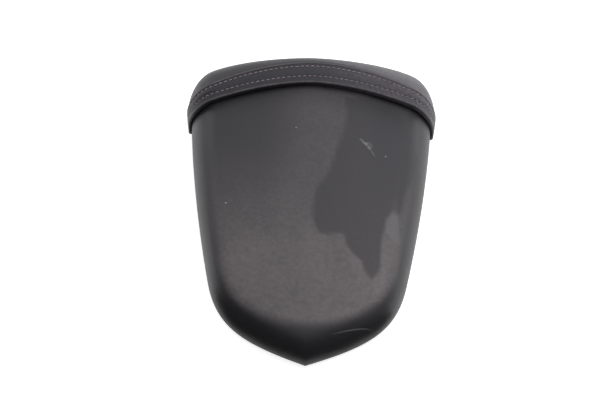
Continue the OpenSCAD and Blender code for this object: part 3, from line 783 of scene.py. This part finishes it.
def padMaterial():
    f = padFinish
    material, tree, shader = newMaterial("padVinyl")
    grain = useGroup(tree, "grain", Pebbles_per_metre=f["grain"], Softness=0.6)
    mottle = useGroup(tree, "mottle", Clouds_per_metre=f["clouds"], Contrast=1.3)
    fleck = useGroup(tree, "fleck", Cells_per_metre=95.0, Size=0.05, Share=0.10)
    wiped, paleMark, hem = marksOf(tree)
    dustAndSheenField = addNode(tree, "ShaderNodeAttribute", attribute_name="dustAndSheen").outputs["Fac"]
    fine = useGroup(tree, "mottle", Clouds_per_metre=f["fineClouds"], Contrast=1.6)
    patchy = calc(tree, "MULTIPLY", mottle.outputs["Clouds"], f["cloudShare"])
    patchy = calc(tree, "MULTIPLY_ADD", fine.outputs["Clouds"], f["fineShare"], patchy)
    dustAndSheen = calc(tree, "MULTIPLY", dustAndSheenField, patchy)
    # dust with its painted sheen lies on faces that look up
    upward = addNode(tree, "ShaderNodeSeparateXYZ")
    feed(tree, upward.inputs[0], addNode(tree, "ShaderNodeNewGeometry").outputs["Normal"])
    lying = addNode(tree, "ShaderNodeMapRange", interpolation_type="SMOOTHSTEP")
    feed(tree, lying.inputs["Value"], upward.outputs[2])
    lying.inputs["From Min"].default_value = f["lyingFrom"]
    lying.inputs["From Max"].default_value = f["lyingFull"]
    dustAndSheen = calc(tree, "MULTIPLY", dustAndSheen, lying.outputs[0])
    kept = calc(tree, "MULTIPLY_ADD", wiped, -f["wipedDarker"], 1.0)
    # dust and painted sheen: paler toward the tail and on the right
    colour = blendColour(tree, calc(tree, "MULTIPLY", dustAndSheen, kept, None, True), f["dark"], f["dusty"])
    colour = blendColour(tree, calc(tree, "MULTIPLY", paleMark, f["rubShare"]), colour, f["pale"])
    flecks = calc(tree, "MULTIPLY", fleck.outputs[0], f["fleckShare"])
    spots = calc(tree, "MAXIMUM", spotMask(tree, f["scuffs"]), flecks)
    colour = blendColour(tree, spots, colour, f["scuffed"])
    colour = blendColour(tree, calc(tree, "MULTIPLY", hem, f["hemShare"]), colour, f["pale"])
    feed(tree, shader.inputs["Base Color"], colour)
    rough = calc(tree, "MULTIPLY_ADD", mottle.outputs["Clouds"], f["roughSpread"], f["roughness"])
    rough = calc(tree, "MULTIPLY_ADD", wiped, f["wipedRough"], rough)
    feed(tree, shader.inputs["Roughness"], calc(tree, "MULTIPLY_ADD", grain.outputs["Valleys"], 0.06, rough))
    shader.inputs["Specular IOR Level"].default_value = f["specular"]
    shader.inputs["Specular Tint"].default_value = f["tint"]
    low = bump(tree, None, mottle.outputs["Clouds"], 0.25, 0.0006)
    low = bump(tree, None, fine.outputs["Clouds"], 0.3, 0.00025, low)
    bump(tree, shader, grain.outputs["Height"], 0.5, f["grainDepth"], low)
    return material


# dusty paints dust with a painted sheen toward the right end; the pale edge colour is a painted highlight
bandFinish = dict(
    dark=(0.009, 0.009, 0.011, 1), worn=(0.030, 0.029, 0.033, 1), deep=(0.006, 0.006, 0.007, 1),
    dusty=(0.085, 0.080, 0.088, 1), paintedHighlight=(0.17, 0.155, 0.165, 1), fleck=(0.2, 0.2, 0.2, 1),
    tint=(0.95, 0.91, 1.0, 1), grain=1300.0, grainDepth=0.00016, streaks=420.0, streakContrast=2.2,
    roughness=0.52, specular=0.36)
frontFinish = dict(bandFinish, grain=2000.0, grainDepth=0.00008, streakContrast=1.1, specular=0.40)


def rollMaterial(name, f):
    material, tree, shader = newMaterial(name)
    grain = useGroup(tree, "grain", Pebbles_per_metre=f["grain"], Softness=0.4)
    mottle = useGroup(tree, "mottle", Clouds_per_metre=45.0, Contrast=1.2)
    fleck = useGroup(tree, "fleck", Cells_per_metre=140.0, Size=0.05, Share=0.08)
    streaky = useGroup(tree, "mottle", Clouds_per_metre=f["streaks"], Contrast=f["streakContrast"])
    dustAndSheenField, _, paleMark = marksOf(tree)
    colour = blendColour(tree, calc(tree, "MULTIPLY", mottle.outputs["Clouds"], 0.35), f["dark"], f["worn"])
    colour = blendColour(tree, calc(tree, "MULTIPLY", grain.outputs["Valleys"], 0.5), colour, f["deep"])
    # dust with a painted sheen, paler toward the right end
    colour = blendColour(tree, calc(tree, "MULTIPLY", dustAndSheenField, streaky.outputs["Clouds"]), colour, f["dusty"])
    broken = calc(tree, "MULTIPLY_ADD", streaky.outputs["Clouds"], 0.6, 0.2)
    # painted highlight: a pale line along the nose edge and the folded seam edge
    colour = blendColour(tree, calc(tree, "MULTIPLY", paleMark, broken), colour, f["paintedHighlight"])
    colour = blendColour(tree, calc(tree, "MULTIPLY", fleck.outputs[0], 0.4), colour, f["fleck"])
    feed(tree, shader.inputs["Base Color"], colour)
    feed(tree, shader.inputs["Roughness"],
         calc(tree, "MULTIPLY_ADD", mottle.outputs["Smears"], 0.12, f["roughness"]))
    shader.inputs["Specular IOR Level"].default_value = f["specular"]
    shader.inputs["Specular Tint"].default_value = f["tint"]
    bump(tree, shader, grain.outputs["Height"], 0.8, f["grainDepth"])
    return material


threadFinish = dict(
    upperThreadTwist=dict(dark=(0.20, 0.145, 0.155, 1), pale=(0.38, 0.31, 0.33, 1)),
    lowerThreadTwist=dict(dark=(0.17, 0.12, 0.13, 1), pale=(0.33, 0.27, 0.29, 1)),
    furrow=(0.02, 0.017, 0.018, 1), twists=700.0, roughness=0.6, sheen=0.2)


def threadMaterial(name):
    f = threadFinish
    material, tree, shader = newMaterial(name)
    twist = addNode(tree, "ShaderNodeTexWave", bands_direction="DIAGONAL")
    feed(tree, twist.inputs["Vector"], addNode(tree, "ShaderNodeTexCoord").outputs["Object"])
    twist.inputs["Scale"].default_value = f["twists"]
    twist.inputs["Distortion"].default_value = 1.5
    patchy = useGroup(tree, "mottle", Clouds_per_metre=60.0, Contrast=2.0)
    colour = blendColour(tree, patchy.outputs["Clouds"], f[name]["dark"], f[name]["pale"])
    colour = blendColour(tree, calc(tree, "MULTIPLY", twist.outputs["Fac"], 0.45), colour, f["furrow"])
    feed(tree, shader.inputs["Base Color"], colour)
    feed(tree, shader.inputs["Roughness"],
         calc(tree, "MULTIPLY_ADD", patchy.outputs["Clouds"], 0.15, f["roughness"]))
    shader.inputs["Sheen Weight"].default_value = f["sheen"]
    bump(tree, shader, twist.outputs["Fac"], 0.6, 0.0002)
    return material


panFinish = dict(
    dark=(0.018, 0.018, 0.019, 1), pale=(0.045, 0.043, 0.04, 1), dusty=(0.16, 0.14, 0.12, 1),
    grain=1100.0, grainDepth=0.00012, roughness=0.48)


def plasticMaterial():
    f = panFinish
    material, tree, shader = newMaterial("mouldedPan")
    grain = useGroup(tree, "grain", Pebbles_per_metre=f["grain"], Softness=0.7)
    mottle = useGroup(tree, "mottle", Clouds_per_metre=22.0, Contrast=1.5)
    fleck = useGroup(tree, "fleck", Cells_per_metre=160.0, Size=0.08, Share=0.25)
    colour = blendColour(tree, mottle.outputs["Clouds"], f["dark"], f["pale"])
    colour = blendColour(tree, calc(tree, "MULTIPLY", fleck.outputs[0], 0.6), colour, f["dusty"])
    feed(tree, shader.inputs["Base Color"], colour)
    feed(tree, shader.inputs["Roughness"],
         calc(tree, "MULTIPLY_ADD", mottle.outputs["Smears"], 0.2, f["roughness"]))
    bump(tree, shader, grain.outputs["Height"], 0.45, f["grainDepth"])
    return material


footFinish = dict(
    dark=(0.012, 0.012, 0.012, 1), pale=(0.05, 0.048, 0.045, 1), grain=1800.0, grainDepth=0.0001,
    roughness=0.65)


def rubberMaterial():
    f = footFinish
    material, tree, shader = newMaterial("footRubber")
    grain = useGroup(tree, "grain", Pebbles_per_metre=f["grain"], Softness=0.8)
    mottle = useGroup(tree, "mottle", Clouds_per_metre=120.0, Contrast=1.4)
    feed(tree, shader.inputs["Base Color"],
         blendColour(tree, mottle.outputs["Clouds"], f["dark"], f["pale"]))
    feed(tree, shader.inputs["Roughness"],
         calc(tree, "MULTIPLY_ADD", mottle.outputs["Clouds"], 0.15, f["roughness"]))
    bump(tree, shader, grain.outputs["Height"], 0.4, f["grainDepth"])
    return material


metalFinish = dict(
    zincPlate=dict(bright=(0.62, 0.62, 0.60, 1), dull=(0.42, 0.42, 0.41, 1), roughness=0.32, stain=0.5),
    rubbedRod=dict(bright=(0.66, 0.66, 0.66, 1), dull=(0.48, 0.48, 0.47, 1), roughness=0.24, stain=0.3),
    stapleWire=dict(bright=(0.58, 0.58, 0.58, 1), dull=(0.4, 0.4, 0.41, 1), roughness=0.35, stain=0.7),
    turnedBrass=dict(bright=(0.72, 0.55, 0.26, 1), dull=(0.5, 0.36, 0.16, 1), roughness=0.3, stain=0.2),
    rust=(0.16, 0.10, 0.06, 1))


def metalMaterial(name):
    f = metalFinish[name]
    material, tree, shader = newMaterial(name)
    mottle = useGroup(tree, "mottle", Clouds_per_metre=160.0, Contrast=1.8)
    grain = useGroup(tree, "grain", Pebbles_per_metre=4000.0, Softness=0.5)
    fleck = useGroup(tree, "fleck", Cells_per_metre=400.0, Size=0.3, Share=0.06)
    colour = blendColour(tree, mottle.outputs["Clouds"], f["bright"], f["dull"])
    stains = calc(tree, "MULTIPLY", fleck.outputs[0], f["stain"])
    feed(tree, shader.inputs["Base Color"], blendColour(tree, stains, colour, metalFinish["rust"]))
    shader.inputs["Metallic"].default_value = 1.0
    feed(tree, shader.inputs["Roughness"],
         calc(tree, "MULTIPLY_ADD", mottle.outputs["Smears"], 0.25, f["roughness"]))
    bump(tree, shader, grain.outputs["Height"], 0.2, 0.00004)
    return material


foamFinish = dict(
    fresh=(0.72, 0.64, 0.42, 1), aged=(0.58, 0.47, 0.26, 1), pores=(0.35, 0.28, 0.15, 1),
    grain=900.0, grainDepth=0.0005, roughness=0.85)


def foamMaterial():
    f = foamFinish
    material, tree, shader = newMaterial("mouldedFoam")
    grain = useGroup(tree, "grain", Pebbles_per_metre=f["grain"], Softness=0.3)
    mottle = useGroup(tree, "mottle", Clouds_per_metre=30.0, Contrast=1.6)
    colour = blendColour(tree, mottle.outputs["Clouds"], f["fresh"], f["aged"])
    feed(tree, shader.inputs["Base Color"],
         blendColour(tree, grain.outputs["Valleys"], colour, f["pores"]))
    feed(tree, shader.inputs["Roughness"],
         calc(tree, "MULTIPLY_ADD", mottle.outputs["Clouds"], 0.1, f["roughness"]))
    bump(tree, shader, grain.outputs["Height"], 1.0, f["grainDepth"])
    return material


def dress(piece, material):
    piece.data.materials.clear()
    piece.data.materials.append(material)


dress(topPanel, padMaterial())
dress(bandPanel, rollMaterial("bandVinyl", bandFinish))
dress(frontPanel, rollMaterial("frontVinyl", frontFinish))
dress(upperThread, threadMaterial("upperThreadTwist"))
dress(lowerThread, threadMaterial("lowerThreadTwist"))
dress(nodes["base_pan"], plasticMaterial())
dress(nodes["foam_pad"], foamMaterial())
rubber, zinc, brass = rubberMaterial(), metalMaterial("zincPlate"), metalMaterial("turnedBrass")
for name, piece in nodes.items():
    if name.startswith("foot_"):
        dress(piece, rubber)
    elif name.startswith(("striker_bolt", "bolt_washer", "striker_plate")):
        dress(piece, zinc)
    elif name.startswith("threaded_insert"):
        dress(piece, brass)
dress(nodes["striker_rod"], metalMaterial("rubbedRod"))
dress(nodes["hem_staples"], metalMaterial("stapleWire"))
print("finishes")

# Floor, world and lamps -----
studio = dict(
    floorSize=8.0, floorWhite=0.8, floorGlow=0.72, worldWhite=1.0, worldLight=0.45,
    lamps=[  # name, place, aimed at, size, watts
        ("overhead", (0.62, 0.36, 1.9), (0, 0, 0.03), (1.4, 0.85), 15.0),
        ("rightBack", (0.9, 1.9, 0.55), (0, 0, 0.03), (2.0, 1.0), 26.0),
        ("rightSide", (1.8, 0.75, 0.42), (0, 0, 0.03), (1.0, 0.7), 6.5),
        ("leftBack", (-1.5, 1.3, 1.1), (0, 0, 0.03), (1.2, 1.0), 9.0),
        ("leftSide", (-1.9, 0.75, 0.5), (0, 0, 0.03), (0.8, 0.8), 3.0)],
    cards=[  # name, place, size, tilt, turn
        ("backCard", (0, -1.85, 0.9), (3.4, 1.8), 90, 0),
        ("leftCard", (-1.25, -0.6, 0.6), (2.2, 1.2), 90, 90)],
    # a dark sheet on the floor hugging the tail: painted shade, a stand-in for the floor's shadow seen in
    # reflections, with the dark camera side in front
    floorShadeCard=[(-1.3, -1.9), (1.3, -1.9), (1.3, -0.17), (0.125, -0.125), (0.098, -0.108), (0.06, -0.142),
               (0, -0.170), (-0.06, -0.142), (-0.098, -0.106), (-0.115, -0.09), (-1.3, -0.09)])


def seenRays(tree):
    # 1 for what the camera sees, straight or in a reflection, and 0 for the light on the object
    path = addNode(tree, "ShaderNodeLightPath")
    seen = calc(tree, "MAXIMUM", path.outputs["Is Camera Ray"], path.outputs["Is Glossy Ray"])
    return calc(tree, "MAXIMUM", seen, path.outputs["Is Transmission Ray"])


def makeWorld():
    world = bpy.data.worlds.new("studioAir")
    scene.world = world
    world.use_nodes = True
    tree = world.node_tree
    tree.nodes.clear()
    seen = seenRays(tree)
    back = addNode(tree, "ShaderNodeBackground")
    back.inputs["Color"].default_value = (1, 1, 1, 1)
    extra = studio["worldWhite"] - studio["worldLight"]
    level = calc(tree, "MULTIPLY_ADD", seen, extra, studio["worldLight"])
    feed(tree, back.inputs["Strength"], level)
    out = addNode(tree, "ShaderNodeOutputWorld")
    tree.links.new(back.outputs[0], out.inputs[0])


def makeFloor():
    half = studio["floorSize"] / 2
    mesh = bpy.data.meshes.new("floor")
    corners = [(-half, -half, 0), (half, -half, 0), (half, half, 0), (-half, half, 0)]
    mesh.from_pydata(corners, [], [(0, 1, 2, 3)])
    floor = bpy.data.objects.new("floor", mesh)
    floor.location.z = -0.0005
    scene.collection.objects.link(floor)
    material, tree, shader = newMaterial("paleFloor")
    shader.inputs["Base Color"].default_value = (studio["floorWhite"],) * 3 + (1,)
    shader.inputs["Roughness"].default_value = 0.9
    shader.inputs["Specular IOR Level"].default_value = 0.1
    seen = seenRays(tree)
    shader.inputs["Emission Color"].default_value = (1, 1, 1, 1)
    feed(tree, shader.inputs["Emission Strength"],
         calc(tree, "MULTIPLY", seen, studio["floorGlow"]))
    dress(floor, material)


def makeCards():
    # dark cards on the camera's side keep the tail face dark, and the dark sheet on the floor round the tail
    # is painted shade for the floor's shadow there; only mirror reflections see them
    square = [(-0.5, -0.5), (0.5, -0.5), (0.5, 0.5), (-0.5, 0.5)]
    parts = [(name, [(a * width, b * height) for a, b in square], place, tilt, turn)
             for name, place, (width, height), tilt, turn in studio["cards"]]
    parts.append(("floorShadeCard", studio["floorShadeCard"], (0, 0, 0.001), 0, 0))
    for name, corners, place, tilt, turn in parts:
        mesh = bpy.data.meshes.new(name)
        mesh.from_pydata([(a, b, 0) for a, b in corners], [], [tuple(range(len(corners)))])
        card = bpy.data.objects.new(name, mesh)
        card.location = place
        card.rotation_euler = (math.radians(tilt), 0, math.radians(turn))
        scene.collection.objects.link(card)
        material, tree, shader = newMaterial(name)
        shader.inputs["Base Color"].default_value = (0.03, 0.03, 0.03, 1)
        shader.inputs["Roughness"].default_value = 0.9
        dress(card, material)
        card.visible_camera = False
        card.visible_shadow = False
        card.visible_diffuse = False


def makeLamps():
    for name, place, aim, size, watts in studio["lamps"]:
        data = bpy.data.lights.new(name, "AREA")
        data.shape = "RECTANGLE"
        data.size, data.size_y = size
        data.energy = watts
        lamp = bpy.data.objects.new(name, data)
        way = Vector(aim) - Vector(place)
        lamp.rotation_mode = "QUATERNION"
        lamp.rotation_quaternion = way.to_track_quat("-Z", "Y")
        lamp.location = place
        scene.collection.objects.link(lamp)


makeWorld()
makeFloor()
makeCards()
makeLamps()
print("studio")
